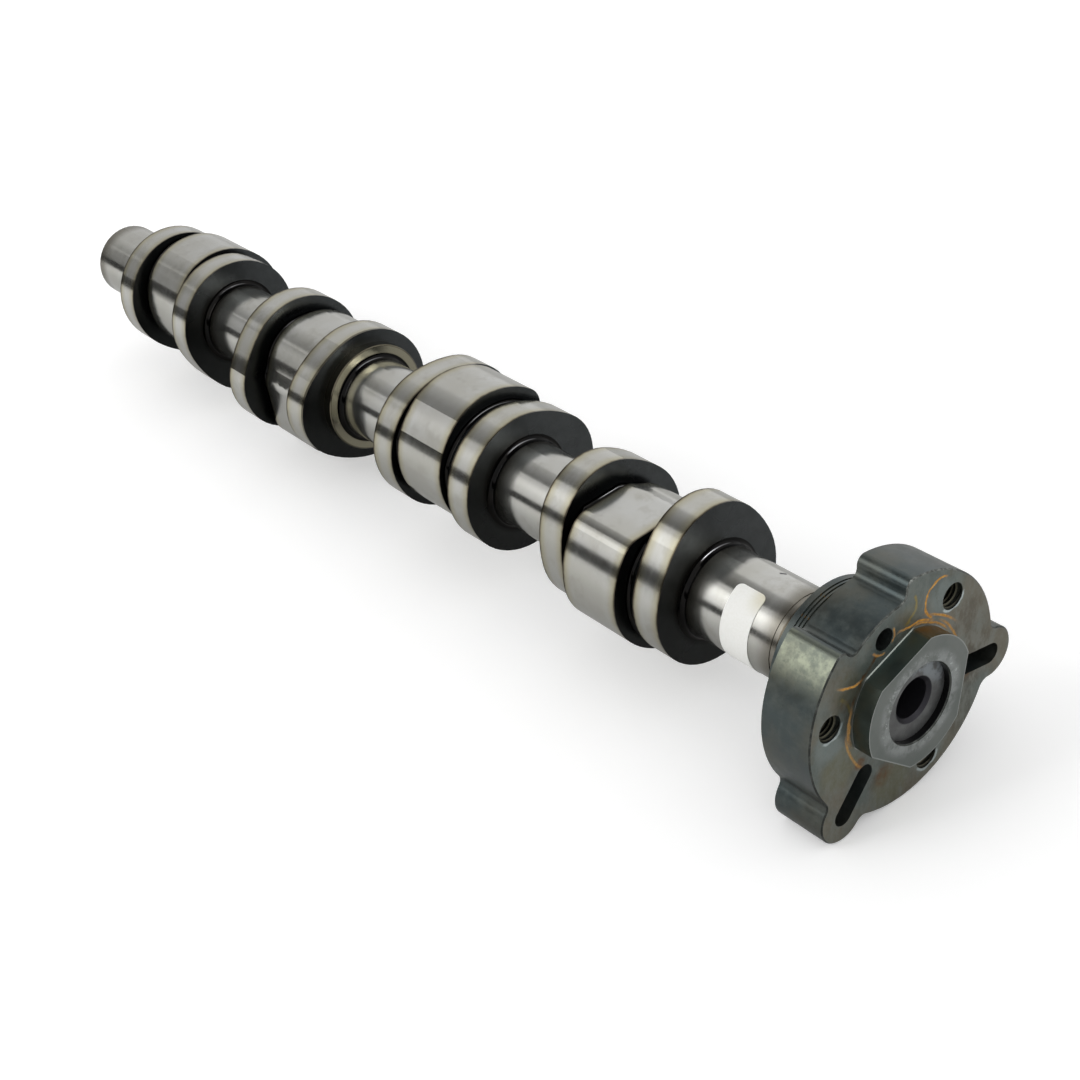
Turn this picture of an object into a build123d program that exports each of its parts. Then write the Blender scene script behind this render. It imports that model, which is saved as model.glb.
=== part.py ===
from build123d import *
import os
from math import acos, atan2, cos, degrees, radians, sin, sqrt

os.makedirs("parts", exist_ok=True)

# Frame: X runs along the shaft, the origin is the centre of the hub's front face,
# the shaft goes towards -X and Z is up. Angles are about X, from +Y towards +Z.
# Every angle but hub_axis_a is counted from the hub's axis of symmetry, which leans
# so that one ear and the flange rim touch the floor together.
hub_axis_a = 109.5

# Shaft casting
journal_d = 29.0
journal_x_end = -421.48
end_chamfer = 0.6
root_relief = 1.1
cylinder_pitch = 88.0
cylinder_phase = (0, 270, 90, 180)
seal_d = 28.6
seal_x_end = -35.4
thrust_cylinder = 2
thrust_d = 38.9
thrust_w = 3.76
thrust_edge = 0.3
tail_centre_d = 8.0
tail_centre_depth = 6.0

# Valve lobes: base circle, two flank arcs and a nose arc, all touching
first_lobe_x = -69.76
valve_base_r = 24.0
valve_lift = 4.6
valve_half_angle = 71.7
valve_flank_r = 42.5
valve_w = 10.45
valve_spacing = 41.12
valve_nose_a = (-17.4, 7.1)

# Injector lobes: base circle, steep straight flank, round corner, concentric nose, then a slow
# return that falls evenly but for an eased share at each end, in short touching arcs
injector_gap = 3.84
injector_w = 23.0
injector_base_r = 19.0
injector_nose_r = 27.5
injector_nose_a = 54.75
injector_nose_half = 21.0
injector_flank_a = -70.6
injector_flank_r = 20.6
injector_corner_r = 7.5
injector_base_from = -163.0
injector_base_to = -91.0
injector_ease = 0.12
injector_return_arcs = 7
# The floor of the gaps beside it follows its outline, capped below the valve lobes
web_depth = 2.6
web_r = 22.2

# Tapered nose inside the hub
nose_x = 3.4
nose_d = 24.24
taper_ratio = 8.0
nose_thread_d = 12.0
nose_thread_depth = 28.0
nose_drill_tip = 2.6
nose_mouth_d = 14.1

# Hub
flange_r = 36.0
flange_t = 17.04
flange_edge = 0.4
collar_r = 22.97
collar_t = 10.21
collar_groove_x = (-22.6, -23.8, -25.0)
collar_groove_w = 0.6
collar_groove_depth = 0.45
boss_r = 20.0
boss_h = 5.73
boss_flat_r = 17.4
bore_mouth_chamfer = 0.4
ear_centre_r = 36.7
ear_r = 8.1
ear_blend = 3.0
slot_inner_r = 24.0
slot_outer_r = 36.3
slot_w = 6.4
window_floor_r = 30.1
window_half = 20.6
window_rim_round = 2.7
window_floor_round = 2.5
window_rim_share = 0.48
window_floor_share = 0.44
bolt_circle_r = 28.85
bolt_thread_d = 8.0
dowel_d = 6.5
dowel_depth = 12.0

# Paper label on the first journal
label_x = (-54.3, -43.5)
label_from = 3.8
label_to = 130.2
label_t = 0.15
label_corner = 2.0

# How closely a corner or an edge is matched when it is picked
tolerance = 0.01

# Dependent values
journal_r = journal_d / 2
core_r = journal_r + root_relief
seal_r = seal_d / 2
thrust_r = thrust_d / 2
hub_rear_x = -flange_t - collar_t
taper_slope = 1 / (2 * taper_ratio)
nose_r = nose_d / 2
nose_rear_r = nose_r + (nose_x - hub_rear_x) * taper_slope
bore_front_r = nose_r - (boss_h - nose_x) * taper_slope
lobe_x = [first_lobe_x - cylinder_pitch * k for k in range(len(cylinder_phase))]
group_length = valve_spacing + valve_w
valve_top_r = valve_base_r + valve_lift
flank_offset = valve_flank_r - valve_base_r
flank_reach = valve_flank_r - valve_top_r
flank_along = flank_offset * cos(radians(valve_half_angle))
flank_across = flank_offset * sin(radians(valve_half_angle))
nose_offset = (flank_offset ** 2 - flank_reach ** 2) / (2 * (flank_reach - flank_along))
nose_half_angle = degrees(atan2(flank_across, nose_offset + flank_along))
nose_thread_r = nose_thread_d / 2
nose_mouth_r = nose_mouth_d / 2
window_wall = flange_r - window_floor_r
rim_round = min(window_rim_round, window_rim_share * window_wall)
floor_round = min(window_floor_round, window_floor_share * window_wall)
ear_angles = (hub_axis_a - 120, hub_axis_a + 120)
bolt_angles = (hub_axis_a - 60, hub_axis_a + 60, hub_axis_a + 180)
window_a = (hub_axis_a - window_half, hub_axis_a + window_half)
axis_dir = Vector(cos(radians(hub_axis_a)), sin(radians(hub_axis_a)))


def polar(r, a):
    return (r * cos(radians(a)), r * sin(radians(a)))


def at_radius(r):
    return lambda v: abs(sqrt(v.X ** 2 + v.Y ** 2) - r) < tolerance


# The flank arcs' centres lie beyond the axis, the nose arc's on the nose side of it
def valve_outline(a0):
    nose_arc_r = valve_top_r - nose_offset
    flank_turn = valve_half_angle - nose_half_angle
    CenterArc(polar(nose_offset, a0), nose_arc_r, a0 - nose_half_angle, 2 * nose_half_angle)
    CenterArc(polar(-flank_offset, a0 + valve_half_angle), valve_flank_r, a0 + nose_half_angle, flank_turn)
    CenterArc((0, 0), valve_base_r, a0 + valve_half_angle, 360 - 2 * valve_half_angle)
    CenterArc(polar(-flank_offset, a0 - valve_half_angle), valve_flank_r, a0 - valve_half_angle, flank_turn)


def eased(u):
    w = injector_ease
    if u < w:
        return u * u / (2 * w * (1 - w))
    if u > 1 - w:
        return 1 - (1 - u) ** 2 / (2 * w * (1 - w))
    return (u - w / 2) / (1 - w)


def injector_outline(a0, inset):
    top_r = injector_nose_r - inset
    base_r = injector_base_r - inset
    flank_r = injector_flank_r - inset
    corner_r = injector_corner_r - inset
    flank_a = a0 + injector_flank_a
    base_from_a = a0 + injector_base_from
    base_to_a = a0 + injector_base_to
    nose_end_a = a0 + injector_nose_half
    # The corner arc touches the flank and the nose circle from inside
    centre_r = top_r - corner_r
    centre_a = flank_a + degrees(acos((flank_r - corner_r) / centre_r))
    corner = CenterArc(polar(centre_r, centre_a), corner_r, flank_a, centre_a - flank_a)
    Line(polar(flank_r, flank_a), corner @ 0)
    arc = CenterArc((0, 0), top_r, centre_a, nose_end_a - centre_a)
    turn = base_from_a + 360 - nose_end_a
    for i in range(injector_return_arcs):
        u = (i + 1) / injector_return_arcs
        end = polar(top_r - (top_r - base_r) * eased(u), nose_end_a + turn * u)
        arc = TangentArc(arc @ 1, end, tangent=arc % 1)
    CenterArc((0, 0), base_r, base_from_a, base_to_a - base_from_a)
    Spline(polar(base_r, base_to_a), polar(flank_r, flank_a),
           tangents=(polar(1, base_to_a + 90), polar(1, flank_a + 90)))


# Camshaft: journals, core and thrust collar turned about X, then the twelve lobes
with BuildPart() as camshaft:
    with BuildSketch(Plane.XZ):
        with BuildLine():
            Polyline((seal_x_end, journal_r), (seal_x_end, seal_r), (hub_rear_x, seal_r),
                     (hub_rear_x, nose_rear_r), (nose_x, nose_r), (nose_x, 0), (journal_x_end, 0),
                     (journal_x_end, journal_r - end_chamfer), (journal_x_end + end_chamfer, journal_r))
            x = seal_x_end
            for k, x_front in enumerate(lobe_x):
                x_shoulder = x_front + (thrust_w if k == thrust_cylinder else 0)
                x_rear = x_front - group_length
                Polyline((x, journal_r), (x_shoulder + root_relief, journal_r), (x_shoulder, core_r))
                if k == thrust_cylinder:
                    Polyline((x_shoulder, core_r), (x_shoulder, thrust_r - thrust_edge),
                             (x_shoulder - thrust_edge, thrust_r), (x_front, thrust_r), (x_front, core_r))
                x = x_rear - root_relief
                Polyline((x_front, core_r), (x_rear, core_r), (x, journal_r))
            Line((x, journal_r), (journal_x_end + end_chamfer, journal_r))
        make_face()
    revolve(axis=Axis.X)
    for phase, x_front in zip(cylinder_phase, lobe_x):
        for nose_a, x_valve in zip(valve_nose_a, (x_front, x_front - valve_spacing)):
            with BuildSketch(Plane.YZ.offset(x_valve - valve_w)):
                with BuildLine():
                    valve_outline(hub_axis_a + nose_a + phase)
                make_face()
            extrude(amount=valve_w)
        a0 = hub_axis_a + injector_nose_a + phase
        x_injector = x_front - valve_w - injector_gap - injector_w
        with BuildSketch(Plane.YZ.offset(x_injector)):
            with BuildLine():
                injector_outline(a0, 0)
            make_face()
        extrude(amount=injector_w)
        with BuildSketch(Plane.YZ.offset(x_injector - injector_gap)):
            with BuildLine():
                injector_outline(a0, web_depth)
            make_face()
            Circle(web_r, mode=Mode.INTERSECT)
        extrude(amount=injector_w + 2 * injector_gap)
    with BuildSketch(Plane.XZ):
        with BuildLine():
            Polyline((nose_x, 0), (nose_x, nose_mouth_r),
                     (nose_x - nose_mouth_r + nose_thread_r, nose_thread_r),
                     (nose_x - nose_thread_depth, nose_thread_r),
                     (nose_x - nose_thread_depth - nose_drill_tip, 0), close=True)
        make_face()
    revolve(axis=Axis.X, mode=Mode.SUBTRACT)
    with BuildSketch(Plane.XZ):
        with BuildLine():
            Polyline((journal_x_end, 0), (journal_x_end, tail_centre_d / 2),
                     (journal_x_end + tail_centre_depth, 0), close=True)
        make_face()
    revolve(axis=Axis.X, mode=Mode.SUBTRACT)

# Hub: flange with two slotted ears and a rim window, front boss with three flats, rear collar
with BuildPart() as hub:
    with BuildSketch(Plane.YZ.offset(-flange_t)) as outline:
        Circle(flange_r)
        for a in ear_angles:
            with Locations(polar(ear_centre_r, a)):
                Circle(ear_r)
        fillet(outline.vertices().filter_by(at_radius(flange_r)), ear_blend)
        with BuildLine():
            ThreePointArc(polar(window_floor_r, window_a[0]), polar(window_floor_r, hub_axis_a),
                          polar(window_floor_r, window_a[1]))
            Polyline(polar(window_floor_r, window_a[1]), polar(2 * flange_r, window_a[1]),
                     polar(2 * flange_r, window_a[0]), polar(window_floor_r, window_a[0]))
        make_face(mode=Mode.SUBTRACT)
        rim_corners = outline.vertices().filter_by(at_radius(flange_r))
        fillet(rim_corners.filter_by(lambda v: Vector(v.X, v.Y).dot(axis_dir) > 0), rim_round)
        fillet(outline.vertices().filter_by(at_radius(window_floor_r)), floor_round)
    extrude(amount=flange_t)
    chamfer(hub.faces().sort_by(Axis.X)[-1].outer_wire().edges(), flange_edge)
    with BuildSketch(Plane.YZ.offset(-flange_t)):
        for a in ear_angles:
            with Locations(polar((slot_inner_r + slot_outer_r) / 2, a)):
                SlotCenterToCenter(slot_outer_r - slot_inner_r, slot_w, rotation=a)
        for a in bolt_angles:
            with Locations(polar(bolt_circle_r, a)):
                Circle(bolt_thread_d / 2)
    extrude(amount=flange_t, mode=Mode.SUBTRACT)
    with BuildSketch(Plane.YZ):
        with Locations(polar(slot_inner_r, hub_axis_a)):
            Circle(dowel_d / 2)
    extrude(amount=-dowel_depth, mode=Mode.SUBTRACT)
    with BuildSketch(Plane.YZ):
        Circle(boss_r)
        for a in (hub_axis_a,) + ear_angles:
            with Locations(polar(boss_flat_r + boss_r / 2, a)):
                Rectangle(boss_r, 2 * boss_r, rotation=a, mode=Mode.SUBTRACT)
    extrude(amount=boss_h)
    with BuildSketch(Plane.XZ):
        with BuildLine():
            Polyline((-flange_t, 0), (-flange_t, collar_r), (hub_rear_x, collar_r),
                     (hub_rear_x, 0), close=True)
        make_face()
        for x in collar_groove_x:
            with Locations((x, collar_r)):
                Rectangle(collar_groove_w, 2 * collar_groove_depth, mode=Mode.SUBTRACT)
    revolve(axis=Axis.X)
    with BuildSketch(Plane.XZ):
        with BuildLine():
            Polyline((boss_h, 0), (boss_h, bore_front_r + bore_mouth_chamfer),
                     (boss_h - bore_mouth_chamfer, bore_front_r + bore_mouth_chamfer * taper_slope),
                     (hub_rear_x, nose_rear_r), (hub_rear_x, 0), close=True)
        make_face()
    revolve(axis=Axis.X, mode=Mode.SUBTRACT)

# Label: a thin paper strip wrapped on the first journal
with BuildPart() as label:
    with BuildSketch(Plane.YZ.offset(label_x[0])):
        with BuildLine():
            label_a = [hub_axis_a + a for a in (label_from, (label_from + label_to) / 2, label_to)]
            r_out = journal_r + label_t
            ThreePointArc(*[polar(journal_r, a) for a in label_a])
            ThreePointArc(*[polar(r_out, a) for a in label_a])
            Line(polar(journal_r, label_a[0]), polar(r_out, label_a[0]))
            Line(polar(journal_r, label_a[2]), polar(r_out, label_a[2]))
        make_face()
    extrude(amount=label_x[1] - label_x[0])
    fillet(label.edges().filter_by(lambda e: abs(e.length - label_t) < tolerance), label_corner)

camshaft.part.label = "camshaft"
export_step(camshaft.part, "parts/camshaft.step")
hub.part.label = "hub"
export_step(hub.part, "parts/hub.step")
label.part.label = "label"
export_step(label.part, "parts/label.step")
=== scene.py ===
from math import ceil, cos, pi, radians, sin

import bmesh
import bpy
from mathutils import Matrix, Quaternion, Vector


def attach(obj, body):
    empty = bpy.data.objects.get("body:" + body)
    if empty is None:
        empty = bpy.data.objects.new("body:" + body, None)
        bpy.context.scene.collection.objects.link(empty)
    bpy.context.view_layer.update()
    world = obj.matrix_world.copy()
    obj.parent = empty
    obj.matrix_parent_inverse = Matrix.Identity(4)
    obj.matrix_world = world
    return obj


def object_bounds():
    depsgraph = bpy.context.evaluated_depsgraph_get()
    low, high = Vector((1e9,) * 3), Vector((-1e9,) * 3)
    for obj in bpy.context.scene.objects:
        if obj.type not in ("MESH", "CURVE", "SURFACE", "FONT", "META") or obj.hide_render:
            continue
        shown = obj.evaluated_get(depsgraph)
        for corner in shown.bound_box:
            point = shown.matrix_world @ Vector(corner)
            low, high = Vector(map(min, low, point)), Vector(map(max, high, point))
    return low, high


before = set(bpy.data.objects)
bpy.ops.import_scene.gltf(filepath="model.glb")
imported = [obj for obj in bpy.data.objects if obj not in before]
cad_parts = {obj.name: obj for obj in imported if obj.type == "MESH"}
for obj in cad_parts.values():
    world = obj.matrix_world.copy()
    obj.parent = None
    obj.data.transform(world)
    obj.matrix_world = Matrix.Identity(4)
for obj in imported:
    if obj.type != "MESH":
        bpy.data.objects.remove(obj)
cad_low, cad_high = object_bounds()

# Camera: it stands off the hub's end and looks down along the shaft, rolled a little clockwise.
# Its place, lens and roll give the photograph's own view.
camera = bpy.data.objects.new("camera", bpy.data.cameras.new("camera"))
bpy.context.scene.collection.objects.link(camera)
bpy.context.scene.camera = camera
camera.location = (0.24440, -0.28909, 0.30732)
look_along = Vector((-0.67340, 0.48850, -0.55490))
camera_roll = radians(-6.76)
camera.rotation_mode = "QUATERNION"
camera.rotation_quaternion = look_along.to_track_quat("-Z", "Y") @ Quaternion((0, 0, 1), camera_roll)
camera.data.sensor_width = 36
camera.data.lens = 60.22
camera.data.clip_start = 0.01
camera.data.clip_end = 20

# Shaft: one chilled-iron casting that lies along X, with the hub on its +X end.
# Journals and lobes are ground bright, with straw and brown tints towards their edges. The side
# faces of the lobes and the floors of the gaps keep the casting's black skin.
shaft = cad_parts["camshaft"]
mm = 0.001
cylinders = 4
cylinder_pitch = 88 * mm
first_lobe_x = -69.76 * mm
valve_w = 10.45 * mm
gap_w = 3.84 * mm
injector_w = 23 * mm
group_length = 2 * valve_w + 2 * gap_w + injector_w
last_lobe_x = first_lobe_x - (cylinders - 1) * cylinder_pitch
journal_r = 14.5 * mm
thrust_group = 2
thrust_back_x = first_lobe_x - thrust_group * cylinder_pitch
thrust_front_x = thrust_back_x + 3.76 * mm
thrust_r = 19.45 * mm
thrust_root_r = journal_r + 1.9 * mm
collar_from_x = thrust_back_x + 0.03 * mm
collar_to_x = thrust_front_x + 1 * mm
collar_edge_r = thrust_r - 0.5 * mm
side_margin = 2 * mm
side_lean = 0.5
nose_back_x = -28.5 * mm
mouth_r = 7.1 * mm
nick_x = -48.4 * mm
nick_y = 3.9 * mm
nick_angle = radians(53.13)
nick_length = 1.9 * mm
nick_half_w = 0.5 * mm
light_angle = radians(53.13)
streak_stretch = (1.0, 0.06, 0.06)
streak_depth = 0.0008 * mm
ground_roughness = (0.14, 0.19)
journal_rougher = 0.075
black_rougher = 0.12
nose_rougher = 0.22
nose_less_metal = 0.3
collar_tint_share = 0.85
ground_warm = (0.45, 0.445, 0.41)
ground_cool = (0.50, 0.50, 0.48)
smudge_grey = (0.35, 0.34, 0.30)
straw_tint = (0.375, 0.348, 0.235)
brown_tint = (0.16, 0.125, 0.07)
burnt_edge = (0.045, 0.036, 0.025)
collar_straw = (0.37, 0.345, 0.245)
collar_brown = (0.12, 0.108, 0.078)
journal_face_reflection = (0.115, 0.100, 0.072)
nick_black = (0.02, 0.02, 0.025)
skin_dark = (0.072, 0.077, 0.079)
skin_light = (0.086, 0.092, 0.095)
painted_shade_black = (0.014, 0.014, 0.013)
nose_dark = (0.115, 0.116, 0.117)
nose_light = (0.175, 0.18, 0.178)
nose_pale = (0.34, 0.38, 0.41)
painted_hole_shade = (0.022, 0.021, 0.026)
ragged_w = 1 * mm
# Each reach below is a pair: where a tint starts, and where it is full.
lobe_foot_r = (journal_r + 1.5 * mm, journal_r + 3 * mm)
straw_reach = (4.2 * mm, 0.6 * mm)
brown_reach = (1.4 * mm, 0.3 * mm)
burnt_reach = (0.7 * mm, 0.2 * mm)
face_reflection_reach = (8.5 * mm, 2.0 * mm)
journal_dull_reach = (12 * mm, 3.5 * mm)
shade_reach = (15 * mm, -7 * mm)
root_shade_r = (journal_r + 7.5 * mm, journal_r + 1.5 * mm)
root_shade_reach = (12 * mm, 2 * mm)
nose_pale_reach = (4 * mm, 9 * mm)


class Shader:
    """A node tree in the making: each call adds nodes and gives back the last one's output."""

    def __init__(self, owner, last_node="Principled BSDF"):
        owner.use_nodes = True
        self.owner = owner
        self.tree = owner.node_tree
        self.last_node = self.tree.nodes[last_node]

    def node(self, kind, *inputs, **settings):
        made = self.tree.nodes.new("ShaderNode" + kind)
        for key, value in settings.items():
            setattr(made, key, value)
        for socket, value in zip([s for s in made.inputs if s.enabled], inputs):
            self.feed(socket, value)
        return made

    def feed(self, socket, value):
        if isinstance(value, bpy.types.NodeSocket):
            self.tree.links.new(value, socket)
        elif socket.type == "RGBA":
            socket.default_value = (*value, 1)
        else:
            socket.default_value = value

    def set(self, **values):
        for key, value in values.items():
            self.feed(self.last_node.inputs[key.replace("_", " ")], value)

    def cover(self, piece):
        piece.data.materials.clear()
        piece.data.materials.append(self.owner)

    def math(self, operation, *inputs, clamp=False):
        return self.node("Math", *inputs, operation=operation, use_clamp=clamp).outputs[0]

    def chain(self, operation, terms):
        total = terms[0]
        for term in terms[1:]:
            total = self.math(operation, total, term)
        return total

    def plus(self, *terms):
        return self.chain("ADD", terms)

    def times(self, *terms):
        return self.chain("MULTIPLY", terms)

    def strongest(self, *terms):
        return self.chain("MAXIMUM", terms)

    def minus(self, first, second, clamp=False):
        return self.math("SUBTRACT", first, second, clamp=clamp)

    def absolute(self, value):
        return self.math("ABSOLUTE", value)

    def length(self, first, second):
        return self.math("SQRT", self.plus(self.times(first, first), self.times(second, second)))

    def toward(self, first, second, angle):
        """How far a point lies out in the direction at this angle."""
        return self.plus(self.times(first, cos(angle)), self.times(second, sin(angle)))

    def ramp(self, value, low, high, to_low=0.0, to_high=1.0):
        """Goes from to_low at low to to_high at high, smoothly, and stays there."""
        return self.node("MapRange", value, low, high, to_low, to_high,
                         interpolation_type="SMOOTHSTEP").outputs[0]

    def past(self, value, limit, soft):
        """1 above the limit, with a soft edge, or 1 below it where soft is negative."""
        return self.ramp(value, limit - soft, limit + soft)

    def within(self, value, low, high, soft=0.05 * mm):
        """1 where value lies between low and high, with soft edges."""
        return self.times(self.past(value, low, soft), self.past(value, high, -soft))

    def mix(self, share, first, second):
        made = self.node("Mix", data_type="RGBA")
        for socket, value in zip((made.inputs[0], made.inputs[6], made.inputs[7]), (share, first, second)):
            self.feed(socket, value)
        return made.outputs[2]

    def noise(self, vector, scale, detail=3.0, roughness=0.5):
        made = self.node("TexNoise")
        given = {"Vector": vector, "Scale": scale, "Detail": detail, "Roughness": roughness}
        for name, value in given.items():
            self.feed(made.inputs[name], value)
        return made.outputs["Fac"]

    def stretched(self, vector, factors):
        return self.node("VectorMath", vector, factors, operation="MULTIPLY").outputs[0]

    def bump(self, height, distance):
        made = self.node("Bump")
        for name, value in {"Strength": 1.0, "Distance": distance, "Height": height}.items():
            self.feed(made.inputs[name], value)
        return made.outputs["Normal"]

    def coordinates(self, kind="Object"):
        return self.node("TexCoord").outputs[kind]

    def parts(self, vector):
        """The x, y and z of a vector."""
        return self.node("SeparateXYZ", vector).outputs


shader = Shader(bpy.data.materials.new("ground_and_black_iron"))
place = shader.coordinates()
x, y, z = shader.parts(place)
facing = shader.parts(shader.coordinates("Normal"))[0]
radius = shader.length(y, z)
along = shader.math("FLOORED_MODULO", shader.minus(first_lobe_x, x), cylinder_pitch)
edges = (0, valve_w, valve_w + gap_w, valve_w + gap_w + injector_w, group_length - valve_w, group_length)
edge_gap = cylinder_pitch
for edge in (*edges, cylinder_pitch):
    edge_gap = shader.math("MINIMUM", edge_gap, shader.absolute(shader.minus(along, edge)))
in_lobes = shader.within(x, last_lobe_x - group_length, first_lobe_x)
on_lobe = shader.times(in_lobes, shader.ramp(radius, *lobe_foot_r))
gaps = shader.plus(shader.within(along, edges[1], edges[2]), shader.within(along, edges[3], edges[4]))
bare_collar = shader.times(shader.within(x, collar_from_x, collar_to_x),
                           shader.within(radius, thrust_root_r, thrust_r + 0.15 * mm))
sides = shader.times(shader.past(shader.absolute(facing), side_lean, soft=0.05),
                     shader.within(x, last_lobe_x - group_length - side_margin, first_lobe_x + side_margin))
black = shader.math("MAXIMUM", shader.times(gaps, in_lobes), shader.minus(sides, bare_collar, clamp=True),
                    clamp=True)

# Ground metal, from its plain colour out to the tints of its edges.
patches = shader.noise(place, scale=60)
smudges = shader.noise(place, scale=130, detail=4, roughness=0.65)
blotches = shader.noise(place, scale=220, detail=4, roughness=0.6)
streaks = shader.noise(shader.stretched(place, streak_stretch), scale=900, detail=2)
edge_reach = shader.plus(edge_gap, shader.times(shader.minus(blotches, 0.5), ragged_w))
ground = shader.mix(shader.ramp(patches, 0.35, 0.7), ground_warm, ground_cool)
ground = shader.mix(shader.ramp(smudges, 0.48, 0.70, to_high=0.45), ground, smudge_grey)
straw = shader.times(on_lobe, shader.ramp(edge_reach, *straw_reach, to_high=0.75))
ground = shader.mix(straw, ground, straw_tint)
browned = shader.times(on_lobe, shader.ramp(edge_reach, *brown_reach, to_high=0.6))
ground = shader.mix(browned, ground, brown_tint)
ground = shader.mix(shader.ramp(edge_reach, *burnt_reach, to_high=0.9), ground, burnt_edge)
on_collar = shader.times(shader.within(x, thrust_back_x - 1 * mm, thrust_front_x + 0.5 * mm, 0.1 * mm),
                         shader.past(radius, thrust_root_r - 0.2 * mm, soft=0.2 * mm))
ground = shader.mix(shader.times(on_collar, collar_tint_share), ground, collar_straw)
collar_edge = shader.times(on_collar, shader.past(radius, collar_edge_r, soft=0.1 * mm))
ground = shader.mix(collar_edge, ground, collar_brown)
# Painted reflection: the journals turn brown-dark towards the black lobe faces, standing in for those faces
# mirrored in the ground metal.
face_reflection_share = shader.minus(shader.ramp(edge_gap, *face_reflection_reach, to_high=0.75), on_lobe, clamp=True)
ground = shader.mix(face_reflection_share, ground, journal_face_reflection)

# A short nick on top of the first journal.
from_nick_x = shader.minus(x, nick_x)
from_nick_y = shader.minus(y, nick_y)
nick_run = shader.toward(from_nick_x, from_nick_y, nick_angle)
nick_aside = shader.toward(from_nick_x, from_nick_y, nick_angle + radians(90))
nick = shader.times(shader.within(nick_run, 0, nick_length, 0.2 * mm),
                    shader.within(nick_aside, -nick_half_w, nick_half_w),
                    shader.past(z, 0.5 * mm, soft=0.5 * mm))
ground = shader.mix(nick, ground, nick_black)

# Black skin, darker away from the light and round the journals' roots: painted shade.
skin = shader.mix(shader.ramp(blotches, 0.3, 0.75), skin_dark, skin_light)
across = shader.toward(y, z, light_angle)
shade_from_light = shader.ramp(across, *shade_reach, to_high=0.7)
root_shade = shader.times(shader.ramp(radius, *root_shade_r, to_high=0.9),
                         shader.ramp(across, *root_shade_reach))
skin = shader.mix(shader.strongest(shade_from_light, root_shade), skin, painted_shade_black)

# The dull nose inside the hub, paler in blotches on its upper side, and black in the mouth of its centre
# hole, which is painted shade.
nose = shader.past(x, nose_back_x, soft=1.5 * mm)
dull_nose = shader.mix(shader.ramp(blotches, 0.3, 0.7), nose_dark, nose_light)
paler_above = shader.times(shader.ramp(across, *nose_pale_reach, to_high=0.6),
                       shader.ramp(blotches, 0.42, 0.58))
dull_nose = shader.mix(paler_above, dull_nose, nose_pale)
# Painted shade: the mouth of the centre hole is painted black.
hole_shade = shader.times(nose, shader.past(radius, mouth_r, soft=-0.2 * mm))
dull_nose = shader.mix(hole_shade, dull_nose, painted_hole_shade)
duller = shader.minus(shader.ramp(edge_gap, *journal_dull_reach, to_high=journal_rougher), on_lobe,
                      clamp=True)
shader.set(Base_Color=shader.mix(nose, shader.mix(black, ground, skin), dull_nose),
           Metallic=shader.minus(1.0, shader.times(nose, nose_less_metal)),
           Roughness=shader.plus(shader.ramp(streaks, 0.2, 0.8, *ground_roughness), duller,
                                 shader.times(black, black_rougher), shader.times(nose, nose_rougher)),
           Normal=shader.bump(streaks, streak_depth))
shader.cover(shaft)

# Root fillets: the casting's own rounds where a journal runs into a lobe or the thrust collar.
# They are turned in one cut with the journal and left black, with a paler band along the top, a painted
# highlight that catches the glint card.
root_fillet_r = 1.9 * mm
root_segments = 160
fillet_steps = 8
skin_lift = 0.015 * mm
buried = 0.2 * mm
smooth_below = radians(40)
root_dark = (0.009, 0.009, 0.009)
root_warm = (0.014, 0.013, 0.012)
root_glint_colour = (0.32, 0.32, 0.33)
root_roughness = 0.13
glint_lean = (0.64, 0.74)
glint_turn = (radians(72), radians(112))
glint_fade = (radians(75), radians(105))


def sweep(name, sections, look, closed=True):
    """A solid made of closed profile sections, joined in order; closed joins the last to the first."""
    count = len(sections[0])
    points = [point for section in sections for point in section]
    faces = []
    for i in range(len(sections) if closed else len(sections) - 1):
        start, after = i * count, (i + 1) % len(sections) * count
        for j in range(count):
            k = (j + 1) % count
            faces.append((start + j, start + k, after + k, after + j))
    if not closed:
        faces.append(tuple(range(count)))
        faces.append(tuple(len(points) - 1 - j for j in range(count)))
    mesh = bpy.data.meshes.new(name)
    mesh.from_pydata(points, [], faces)
    form = bmesh.new()
    form.from_mesh(mesh)
    bmesh.ops.recalc_face_normals(form, faces=form.faces)
    form.to_mesh(mesh)
    form.free()
    mesh.shade_smooth()
    mesh.set_sharp_from_angle(angle=smooth_below)
    mesh.materials.append(look)
    made = bpy.data.objects.new(name, mesh)
    bpy.context.scene.collection.objects.link(made)
    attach(made, "root")


def fillet_section(x_face, side, size, foot, outward):
    """A corner's round: side is +1 on a face that looks to +X, foot a floor point, outward its normal."""
    section = [Vector((x_face - side * buried, *(foot - outward * buried)))]
    for i in range(fillet_steps + 1):
        turn = radians(90) * i / fillet_steps
        height = skin_lift + size * (1 - cos(turn))
        off_face = skin_lift + size * (1 - sin(turn))
        section.append(Vector((x_face + side * off_face, *(foot + outward * height))))
    return section


def around(count):
    return [Vector((cos(2 * pi * i / count), sin(2 * pi * i / count))) for i in range(count)]


shader = Shader(bpy.data.materials.new("black_root"))
place = shader.coordinates()
x, y, z = shader.parts(place)
facing = shader.parts(shader.coordinates("Normal"))[0]
turn = shader.math("ARCTAN2", z, y)
root_skin = shader.mix(shader.ramp(shader.noise(place, scale=220, detail=4, roughness=0.6), 0.3, 0.75),
                       root_dark, root_warm)
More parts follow.
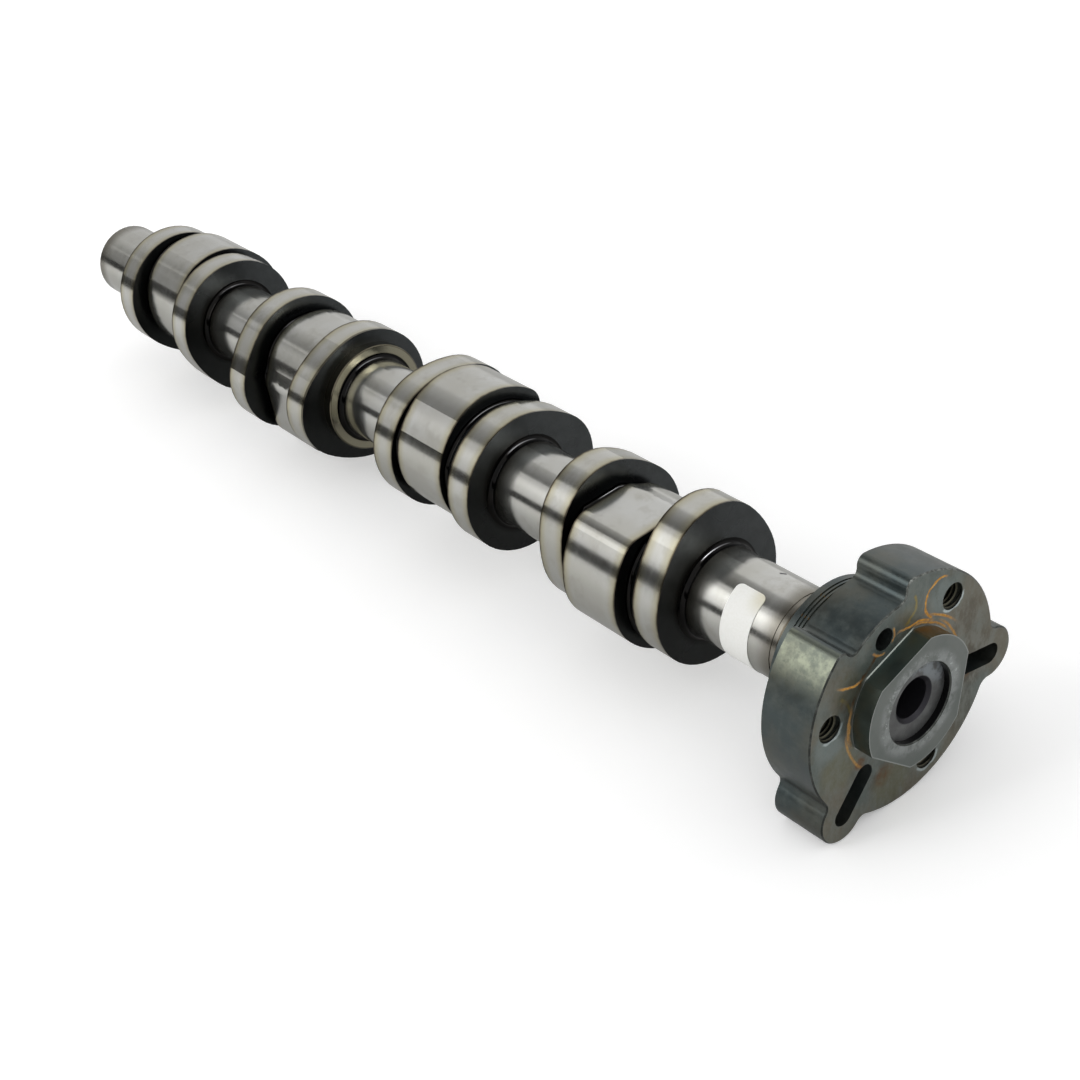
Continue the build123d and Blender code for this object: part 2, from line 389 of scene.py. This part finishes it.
# Painted highlight: a paler band on the fillets' upper part, where the glint card's reflection falls.
glint_band = shader.times(shader.within(shader.absolute(facing), *glint_lean, soft=0.05),
                         shader.within(turn, *glint_turn, soft=0.1),
                         shader.ramp(turn, *glint_fade, to_low=0.3))
shader.set(Base_Color=shader.mix(glint_band, root_skin, root_glint_colour), Metallic=1.0, Roughness=root_roughness)
black_root = shader.owner
group_fronts = [first_lobe_x - k * cylinder_pitch for k in range(cylinders)]
journal_ends = [(group_x, 1) for k, group_x in enumerate(group_fronts) if k != thrust_group]
journal_ends += [(group_x - group_length, -1) for group_x in group_fronts]
journal_ends.append((thrust_front_x, 1))
for number, (x_face, side) in enumerate(journal_ends, 1):
    sections = [fillet_section(x_face, side, root_fillet_r, out * journal_r, out)
                for out in around(root_segments)]
    sweep(f"root_fillet_{number}", sections, black_root)

# Gap fillets: the cast rounds at the foot of each side face in the narrow gaps beside the
# injector lobes, black like the skin. The floor's outline is taken from the shaft itself.
gap_fillet_r = 1.2 * mm
gap_segments = 200
outside_r = 50 * mm
bpy.context.view_layer.update()


def floor_fillet(x_face, side):
    """Sections of the round along the foot of one side face, each side +1 or -1 as above."""
    feet = []
    for out in around(gap_segments):
        start = Vector((x_face + side * gap_w / 2, *(out * outside_r)))
        spot = shaft.ray_cast(start, Vector((0, *(-out))))[1]
        feet.append(Vector((spot.y, spot.z)))
    sections = []
    for i, foot in enumerate(feet):
        run = (feet[(i + 2) % len(feet)] - feet[i - 2]).normalized()
        sections.append(fillet_section(x_face, side, gap_fillet_r, foot, Vector((run.y, -run.x))))
    return sections


for group, group_x in enumerate(group_fronts, 1):
    for number, edge in enumerate(edges[1:5], 1):
        side = 1 if number % 2 == 0 else -1
        sweep(f"gap_fillet_{group}_{number}", floor_fillet(group_x - edge, side), black_root)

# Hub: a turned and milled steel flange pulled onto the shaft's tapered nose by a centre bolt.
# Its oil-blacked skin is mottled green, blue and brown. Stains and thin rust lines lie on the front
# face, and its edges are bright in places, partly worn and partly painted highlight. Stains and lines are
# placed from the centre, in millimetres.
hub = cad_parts["hub"]
hub_axis_a = radians(109.5)
flat_angles = (hub_axis_a, hub_axis_a + radians(120), hub_axis_a - radians(120))
bolt_angles = [angle + radians(60) for angle in flat_angles]
bolt_circle_r = 28.85 * mm
hole_rim_r = 4.4
line_lead = radians(10)
rim_starts = (235, 215, 215)
rim_shares = (0.9, 0.9, 1.0)
boss_r = 20 * mm
boss_flat_r = 17.4 * mm
bore_r = 14.4 * mm
flange_r = 36 * mm
foot_glint_w = 0.6 * mm
boss_edge_reach = (0.45 * mm, 0.1 * mm)
scuff_reach = (17.0 * mm, 13.6 * mm)
spark_reach = (16.2 * mm, 14.2 * mm)
swell_w = 2.2 * mm
waver_w = 0.6 * mm
window_turn = (radians(130), radians(150))
crust_turn = (radians(48), radians(80))
foot_glint_turn = (radians(81), radians(137))
chip_glint_turn = (radians(52), radians(92))
marble_stretch = (1.0, 1.0, 0.5)
oiled_roughness = (0.28, 0.42)
rust_and_glint_rougher = 0.3
pit_depth = 0.012 * mm
skin_blue = (0.060, 0.075, 0.076)
skin_olive = (0.090, 0.092, 0.078)
skin_pale = (0.12, 0.135, 0.125)
skin_deep = (0.035, 0.045, 0.042)
window_highlight = (0.28, 0.30, 0.22)
wall_blue = (0.056, 0.078, 0.072)
wall_olive = (0.070, 0.083, 0.071)
wall_crust = (0.16, 0.10, 0.032)
face_blue = (0.155, 0.180, 0.168)
face_tan = (0.205, 0.190, 0.150)
face_olive = (0.195, 0.190, 0.125)
face_pale = (0.235, 0.280, 0.275)
stain_dark = (0.105, 0.090, 0.066)
stain_light = (0.215, 0.200, 0.165)
speck_brown = (0.12, 0.105, 0.075)
speck_pale = (0.34, 0.37, 0.35)
spot_grey = (0.30, 0.32, 0.30)
marble_pale = (0.25, 0.275, 0.25)
marble_dark = (0.12, 0.115, 0.080)
rust_olive = (0.34, 0.27, 0.09)
rust_red = (0.17, 0.085, 0.030)
rust_orange = (0.68, 0.33, 0.022)
rust_brown = (0.42, 0.18, 0.015)
boss_dark = (0.165, 0.185, 0.175)
boss_light = (0.215, 0.232, 0.220)
scuff_grey = (0.38, 0.40, 0.40)
spark_pale = (0.66, 0.70, 0.70)
hole_rim_highlight = (0.55, 0.62, 0.62)
boss_edge_bright = (0.50, 0.52, 0.51)
foot_glint_colour = (0.80, 0.87, 0.80)
chamfer_dark = (0.030, 0.033, 0.030)
chip_and_glint_colour = (0.42, 0.44, 0.41)
painted_bore_shade = (0.010, 0.010, 0.011)
shader = Shader(bpy.data.materials.new("mottled_dark_steel"))
place = shader.coordinates()
x, y, z = shader.parts(place)
facing = shader.parts(shader.coordinates("Normal"))[0]
radius = shader.length(y, z)
clouds = shader.noise(place, scale=45, detail=4, roughness=0.6)
spots = shader.noise(place, scale=260, detail=5, roughness=0.65)
specks = shader.noise(place, scale=800, detail=5, roughness=0.7)
marbled = shader.noise(shader.stretched(place, marble_stretch), scale=210, detail=5, roughness=0.7)
swell = shader.minus(shader.noise(place, scale=240), 0.5)
waver = shader.plus(shader.times(swell, swell_w), shader.times(shader.minus(specks, 0.5), waver_w))
face_y = shader.plus(y, waver)
face_z = shader.minus(z, waver)


def distance_and_turn(centre_y, centre_z):
    """How far a point of the front face lies from a centre, and at what angle."""
    aside = shader.minus(face_y, centre_y)
    above = shader.minus(face_z, centre_z)
    return shader.length(aside, above), shader.math("ARCTAN2", above, aside)


def patches_at(*rows):
    """Soft round stains, each given by its centre's y and z, its radius and its strength."""
    stains = []
    for centre_y, centre_z, size, share in rows:
        reach = distance_and_turn(centre_y * mm, centre_z * mm)[0]
        stains.append(shader.ramp(reach, 0.55 * size * mm, 1.15 * size * mm, share, 0.0))
    return shader.strongest(*stains)


def arc_line(centre_y, centre_z, size, a_from, a_to, width, share):
    """A wavering line along part of a circle, from angle a_from to a_to in degrees."""
    reach, turn = distance_and_turn(centre_y * mm, centre_z * mm)
    off = shader.absolute(shader.minus(reach, size * mm))
    line = shader.ramp(off, 0.2 * width * mm, width * mm, share, 0.0)
    turned = shader.math("FLOORED_MODULO", shader.minus(turn, radians(a_from) - line_lead), 2 * pi)
    stretch = shader.within(turned, line_lead, radians(a_to - a_from) + line_lead, soft=0.14)
    return shader.times(line, stretch)


def broken(share, noise, low, high, least):
    """A share that the noise weakens in places, down to this least part of it."""
    return shader.times(share, shader.ramp(noise, low, high, least, 1.0))


turn = distance_and_turn(0, 0)[1]
front = shader.ramp(facing, 0.75, 0.9)
on_flange = shader.past(x, 0.75 * mm, soft=-0.25 * mm)
on_boss = shader.past(x, 0.2 * mm, soft=0.1 * mm)
bore_in_shade = shader.times(shader.past(radius, bore_r, soft=-0.2 * mm), shader.past(facing, 0.4, soft=-0.1))

# Oiled skin of the rim, with a painted highlight beside the window, and the walls of the boss.
skin = shader.mix(shader.ramp(clouds, 0.35, 0.65), skin_blue, skin_olive)
skin = shader.mix(shader.ramp(spots, 0.4, 0.75, to_high=0.5), skin, skin_pale)
# Painted highlight: the rim is lightened beside the window.
beside_window_highlight = shader.times(shader.within(turn, *window_turn, soft=0.16),
                             shader.past(radius, flange_r - 0.7 * mm, soft=0.3 * mm),
                             shader.ramp(spots, 0.3, 0.65, 0.85, 0.3))
skin = shader.mix(beside_window_highlight, skin, window_highlight)
skin = shader.mix(shader.ramp(specks, 0.56, 0.72, to_high=0.35), skin, skin_deep)
wall = shader.mix(shader.ramp(clouds, 0.35, 0.65), wall_blue, wall_olive)
crust = shader.times(shader.within(turn, *crust_turn, soft=0.1),
                     shader.past(radius, boss_r - 0.4 * mm, soft=0.2 * mm))
wall = shader.mix(broken(crust, spots, 0.25, 0.6, 0.5), wall, wall_crust)
skin = shader.mix(on_boss, skin, wall)

# Front face of the flange: stains first, then mottling, then the rust lines.
face = shader.mix(shader.ramp(clouds, 0.38, 0.60), face_blue, face_tan)
brown = patches_at((27, -4, 11, 0.75), (22, -18, 9, 0.5), (-10, -24, 4, 0.5), (25, 12, 7, 0.5))
face = shader.mix(brown, face, shader.mix(shader.ramp(marbled, 0.40, 0.58), stain_dark, stain_light))
olive = patches_at((-25, -10, 8, 0.8), (-5, -28, 8, 0.8), (-21, 14, 6, 0.5), (2, 25, 4, 0.4))
face = shader.mix(olive, face, face_olive)
pale = patches_at((14.5, 24, 5.5, 0.7), (-28.4, 0.5, 6.5, 0.8), (10, -24, 8, 0.8), (-15, 20, 5, 0.3))
face = shader.mix(pale, face, face_pale)
face = shader.mix(shader.ramp(specks, 0.52, 0.70, to_high=0.35), face, speck_brown)
face = shader.mix(shader.ramp(specks, 0.46, 0.30, to_high=0.18), face, speck_pale)
face = shader.mix(shader.ramp(spots, 0.45, 0.75, to_high=0.30), face, spot_grey)
olive_lines = shader.strongest(arc_line(-0.5, 27.5, 4.8, -85, 35, width=0.7, share=0.9),
                               arc_line(-30, 5.5, 9, 5, 50, width=0.8, share=0.7))
face = shader.mix(olive_lines, face, rust_olive)
reddish = shader.strongest(patches_at((-7.6, -23.1, 4, 0.7), (-17.1, -13.4, 2.2, 0.8),
                                      (25.5, -7.8, 1.6, 0.8), (-22.5, 9.4, 2.2, 0.5)),
                           arc_line(0, 0, 21.5, 116, 164, width=1.0, share=1.0))
face = shader.mix(broken(reddish, spots, 0.35, 0.6, 0.25), face, rust_red)
face = shader.mix(shader.ramp(marbled, 0.44, 0.62, to_high=0.4), face, marble_pale)
face = shader.mix(shader.ramp(marbled, 0.44, 0.32, to_high=0.35), face, marble_dark)
rust_lines = shader.strongest(arc_line(13.6, 24.6, 5.8, 65, 236, width=0.60, share=1.0),
                              arc_line(-5, -10, 34.3, 46, 64, width=0.55, share=1.0),
                              arc_line(0, 0, 21.6, 62, 94, width=0.60, share=1.0),
                              arc_line(0, 0, 22.0, 12, 48, width=0.55, share=0.8),
                              arc_line(0, 0, 20.9, 38, 78, width=0.50, share=0.9),
                              arc_line(-8, 22.6, 3.9, -40, 25, width=0.55, share=0.7),
                              arc_line(-8, 22.6, 4.6, 210, 275, width=0.60, share=0.7),
                              arc_line(-17.5, 27.2, 13.3, 238, 273, width=0.60, share=0.9),
                              arc_line(0, 0, 21.4, 162, 192, width=1.0, share=0.7),
                              arc_line(0, 0, 22.4, 184, 222, width=0.65, share=0.6))
rust_lines = broken(rust_lines, spots, 0.25, 0.5, 0.65)
face = shader.mix(rust_lines, face, shader.mix(shader.ramp(specks, 0.35, 0.6), rust_orange, rust_brown))
# Painted highlight: a bright arc on the lower right of each bolt hole's edge.
hole_rim_highlights = shader.strongest(*[arc_line(bolt_circle_r / mm * cos(angle), bolt_circle_r / mm * sin(angle),
                                        hole_rim_r, rim_from, 355, width=0.6, share=share)
                               for angle, rim_from, share in zip(bolt_angles, rim_starts, rim_shares)])
face = shader.mix(broken(hole_rim_highlights, spots, 0.3, 0.5, 0.4), face, hole_rim_highlight)

# Front face of the boss, scuffed round the bore, a paler broken line along its edges, and a painted
# highlight along the foot of the boss.
boss_face = shader.mix(shader.ramp(clouds, 0.3, 0.7), boss_dark, boss_light)
scuffs = shader.times(shader.ramp(radius, *scuff_reach), shader.ramp(spots, 0.35, 0.6), 0.8)
boss_face = shader.mix(scuffs, boss_face, scuff_grey)
sparks = shader.times(shader.ramp(radius, *spark_reach), shader.ramp(specks, 0.56, 0.66),
                      shader.ramp(clouds, 0.45, 0.6, 0.1, 0.6))
boss_face = shader.mix(sparks, boss_face, spark_pale)
face = shader.mix(on_flange, boss_face, face)
boss_gap = shader.minus(boss_r, radius)
for angle in flat_angles:
    boss_gap = shader.math("MINIMUM", boss_gap, shader.minus(boss_flat_r, shader.toward(y, z, angle)))
# A paler, broken line along the edges of the boss face.
boss_edge_pale = shader.times(shader.ramp(shader.absolute(boss_gap), *boss_edge_reach),
                      shader.ramp(spots, 0.2, 0.55, 0.1, 0.8), 0.8)
face = shader.mix(boss_edge_pale, face, boss_edge_bright)
# Painted highlight: the glint of the small round along the foot of the boss.
foot_glint = shader.times(on_flange, shader.within(boss_gap, -foot_glint_w, 0, soft=0.12 * mm),
                         shader.within(turn, *foot_glint_turn, soft=0.05))
foot_glint = broken(foot_glint, spots, 0.3, 0.5, 0.7)
face = shader.mix(foot_glint, face, foot_glint_colour)

# The slanted edges: dark chamfers, bright towards the top with chips and a painted highlight, worn in spots
# elsewhere, and the bore, painted black as shade.
colour = shader.mix(front, skin, face)
slanted = shader.within(facing, 0.60, 0.80, soft=0.05)
colour = shader.mix(slanted, colour, chamfer_dark)
# Chips and painted highlight: the upper chamfer is bright in specks where the glint card is mirrored.
chips_and_glint = shader.times(shader.within(turn, *chip_glint_turn, soft=0.1),
                       shader.ramp(specks, 0.40, 0.62, 0.1, 0.4))
wear_and_glint = shader.strongest(chips_and_glint, shader.ramp(spots, 0.45, 0.62, to_high=0.12))
colour = shader.mix(shader.times(slanted, wear_and_glint), colour, chip_and_glint_colour)
# Painted shade: the bore's wall is painted black.
colour = shader.mix(bore_in_shade, colour, painted_bore_shade)
# The rust lines and the painted foot glint are less metallic and rougher.
rust_and_glint = shader.times(front, shader.strongest(rust_lines, foot_glint))
shader.set(Base_Color=colour,
           Metallic=shader.minus(0.85, rust_and_glint, clamp=True),
           Roughness=shader.plus(shader.ramp(spots, 0.3, 0.7, *oiled_roughness),
                                 shader.times(rust_and_glint, rust_and_glint_rougher)),
           Normal=shader.bump(spots, pit_depth))
shader.cover(hub)

# Threads: three M8 threads cut right through the flange and the M12 thread in the shaft's nose,
# lighter at their crests and darker towards their roots with painted shade.
flange_t = 17.04 * mm
nose_front_x = 3.4 * mm
thread_r = 4.0 * mm
thread_crest_r = 3.3 * mm
thread_pitch = 1.25 * mm
thread_from_x = -0.6 * mm
thread_to_x = -flange_t + 0.8 * mm
centre_thread_r = 6.0 * mm
centre_crest_r = 5.2 * mm
centre_pitch = 1.75 * mm
centre_from_x = nose_front_x - 9 * mm
centre_to_x = nose_front_x - 26.5 * mm
thread_segments = 40
run_out = thread_segments / 2
half_foot = 0.45
half_crest = 0.07
crest_steel = (0.11, 0.105, 0.075)
shaded_root_steel = (0.018, 0.018, 0.014)
crest_iron = (0.05, 0.05, 0.055)
shaded_root_iron = (0.008, 0.008, 0.009)


def thread(name, centre, outer_r, inner_r, pitch, x_start, x_stop, look):
    """A right-hand ridge wound into a hole from x_start back to x_stop, its crest sinking at both ends.
    half_foot and half_crest are its half widths as shares of the pitch."""
    steps = ceil((x_start - x_stop) / pitch * thread_segments)
    foot_reach = Vector((pitch * half_foot, 0, 0))
    crest_reach = Vector((pitch * half_crest, 0, 0))
    sections = []
    for i in range(steps + 1):
        angle = -2 * pi * i / thread_segments
        out = Vector((0, cos(angle), sin(angle)))
        middle = centre + Vector((x_start - pitch * i / thread_segments, 0, 0))
        rise = min(1, i / run_out, (steps - i) / run_out)
        crest = out * (outer_r - (outer_r - inner_r) * rise)
        foot = out * (outer_r + buried)
        sections.append([middle + foot_reach + foot, middle + crest_reach + crest,
                         middle - crest_reach + crest, middle - foot_reach + foot])
    sweep(name, sections, look, closed=False)


def thread_look(name, centre, outer_r, inner_r, crest_colour, shaded_root_colour):
    """Cut metal, lighter at its crest and darkened towards the thread's root with painted shade."""
    look = Shader(bpy.data.materials.new(name))
    x, y, z = look.parts(look.coordinates())
    thread_shade = look.ramp(look.length(look.minus(y, centre.y), look.minus(z, centre.z)), inner_r, outer_r)
    look.set(Base_Color=look.mix(thread_shade, crest_colour, shaded_root_colour), Metallic=0.9, Roughness=0.4)
    return look.owner


for number, angle in enumerate(bolt_angles, 1):
    centre = Vector((0, bolt_circle_r * cos(angle), bolt_circle_r * sin(angle)))
    look = thread_look(f"cut_thread_{number}", centre, thread_r, thread_crest_r, crest_steel, shaded_root_steel)
    thread(f"flange_thread_{number}", centre, thread_r, thread_crest_r, thread_pitch,
           thread_from_x, thread_to_x, look)
centre = Vector((0, 0, 0))
look = thread_look("centre_cut_thread", centre, centre_thread_r, centre_crest_r, crest_iron, shaded_root_iron)
thread("centre_thread", centre, centre_thread_r, centre_crest_r, centre_pitch,
       centre_from_x, centre_to_x, look)

# Label: a strip of white paper stuck round the first journal and left blank.
# Its upper end has yellowed.
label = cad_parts["label"]
paper_shade = (0.84, 0.84, 0.80)
paper_white = (0.87, 0.87, 0.84)
paper_yellow = (0.62, 0.58, 0.40)
yellow_z = (8.5 * mm, 13.5 * mm)
yellow_x = (-50 * mm, -44 * mm)
yellow_share = 0.7
paper_roughness = 0.55
fibre_depth = 0.003 * mm
shader = Shader(bpy.data.materials.new("plain_label_paper"))
place = shader.coordinates()
x, y, z = shader.parts(place)
fibres = shader.noise(place, scale=1500, detail=4)
paper = shader.mix(shader.ramp(fibres, 0.3, 0.7), paper_shade, paper_white)
aged = shader.times(shader.ramp(z, *yellow_z), shader.ramp(x, *yellow_x), yellow_share)
shader.set(Base_Color=shader.mix(aged, paper, paper_yellow), Roughness=paper_roughness,
           Normal=shader.bump(fibres, fibre_depth))
shader.cover(label)

# Studio: a plain pale floor and an even pale room, with a soft box on the camera's left that fades
# along the shaft. Dark cards low down and overhead give the ground metal its bands, and a narrow
# bright card draws the glint on the root fillets.
floor_z = cad_low.z
black_card = (0, 0, 0)
floor_white = (0.93, 0.93, 0.93)
floor_mirrored = (0.95, 0.95, 0.94)
floor_in_shade = (0.60, 0.60, 0.59)
floor_glow = 0.24
shade_y = (-0.14, 0.0)
even_x = -0.93
fade_rate = 1.15
soft_box_z = (0.3, 1.15)
soft_box_strength = (1.35, 2.75)
low_card_strength = 0.03
top_card_turn = radians(8)
top_card_middle = 0.11
top_card_middle_x = -0.92
top_card_middle_y = -0.46
top_card_slope_x = -0.28
top_card_slope_y = 0.62
top_card_least = 0.12
top_card_most = 0.8
glint_y = (0.05, 0.60)
glint_strength = (9.0, 1.5)
room_light = 0.8
far_wall_x = (-0.86, -0.56)
far_wall_mirrored = (0.72, 1.02)


def card(name, size, centre, normal, colour):
    """A flat rectangle of the studio, size[0] along X, and the shader of its look."""
    mesh = bpy.data.meshes.new(name)
    form = bmesh.new()
    bmesh.ops.create_grid(form, x_segments=1, y_segments=1, size=0.5)
    bmesh.ops.scale(form, vec=(size[0], size[1], 1), verts=form.verts)
    form.to_mesh(mesh)
    form.free()
    made = bpy.data.objects.new(name, mesh)
    made.location = centre
    made.rotation_mode = "QUATERNION"
    made.rotation_quaternion = Vector(normal).to_track_quat("Z", "X") @ Quaternion((0, 0, 1), pi / 2)
    bpy.context.scene.collection.objects.link(made)
    look = Shader(bpy.data.materials.new(name))
    look.set(Base_Color=colour, Roughness=1.0, Emission_Color=(1, 1, 1))
    mesh.materials.append(look.owner)
    return made, look


def position(look):
    return look.parts(look.node("NewGeometry").outputs["Position"])


def only_reflected(made):
    made.visible_camera = False
    made.visible_shadow = False
    made.visible_diffuse = False


look = card("floor", size=(8, 8), centre=(0, 0, floor_z), normal=(0, 0, 1), colour=floor_white)[1]
light_path = look.node("LightPath")
# Painted shade: in reflections the floor darkens from in front of the shaft to under and behind it.
mirrored_floor_shade = look.mix(look.ramp(position(look)[1], *shade_y), floor_mirrored, floor_in_shade)
pale = look.mix(light_path.outputs["Is Glossy Ray"], floor_white, mirrored_floor_shade)
look.set(Base_Color=pale, Emission_Strength=look.times(light_path.outputs["Is Camera Ray"], floor_glow))

soft_box, look = card("soft_box", size=(3.0, 1.20), centre=(-1.75, -1.15, 0.93), normal=(0, 1, 0),
                      colour=black_card)
fade = look.math("EXPONENT", look.times(look.minus(position(look)[0], even_x), fade_rate))
upward = look.ramp(position(look)[2], *soft_box_z, *soft_box_strength)
look.set(Emission_Strength=look.times(fade, upward))
soft_box.visible_camera = False
soft_box.visible_shadow = False

low_card, look = card("low_card", size=(3, 0.135), centre=(-0.8, -0.4, floor_z + 0.07), normal=(0.235, 1, 0),
                      colour=black_card)
look.set(Emission_Strength=low_card_strength)
only_reflected(low_card)

top_card, look = card("top_card", size=(5, 0.82), centre=(-2.0, -0.31, 1.2), normal=(0, 0, -1),
                      colour=black_card)
top_card.rotation_quaternion = Quaternion((0, 0, 1), top_card_turn) @ top_card.rotation_quaternion
far_off, aside = position(look)[:2]
paler = look.plus(top_card_middle, look.times(look.minus(far_off, top_card_middle_x), top_card_slope_x),
                  look.times(look.minus(aside, top_card_middle_y), top_card_slope_y))
look.set(Emission_Strength=look.math("MINIMUM", look.strongest(paler, top_card_least), top_card_most))
only_reflected(top_card)

glint_card, look = card("glint_card", size=(0.85, 0.09), centre=(0.53, 0.35, 0.66),
                        normal=(-0.60, -0.35, -0.66), colour=black_card)
look.set(Emission_Strength=look.ramp(position(look)[1], *glint_y, *glint_strength))
only_reflected(glint_card)

room = Shader(bpy.data.worlds.new("room"), last_node="Background")
bpy.context.scene.world = room.owner
light_path = room.node("LightPath")
direction_x = room.parts(room.coordinates("Generated"))[0]
far_wall = room.node("MapRange", direction_x, *far_wall_x, *far_wall_mirrored).outputs[0]
light_or_mirror = room.node("Mix", light_path.outputs["Is Glossy Ray"], room_light, far_wall).outputs[0]
seen_white = room.node("Mix", light_path.outputs["Is Camera Ray"], light_or_mirror, 1.0).outputs[0]
room.set(Color=(1, 1, 1), Strength=seen_white)
bpy.context.scene.view_settings.view_transform = "Standard"
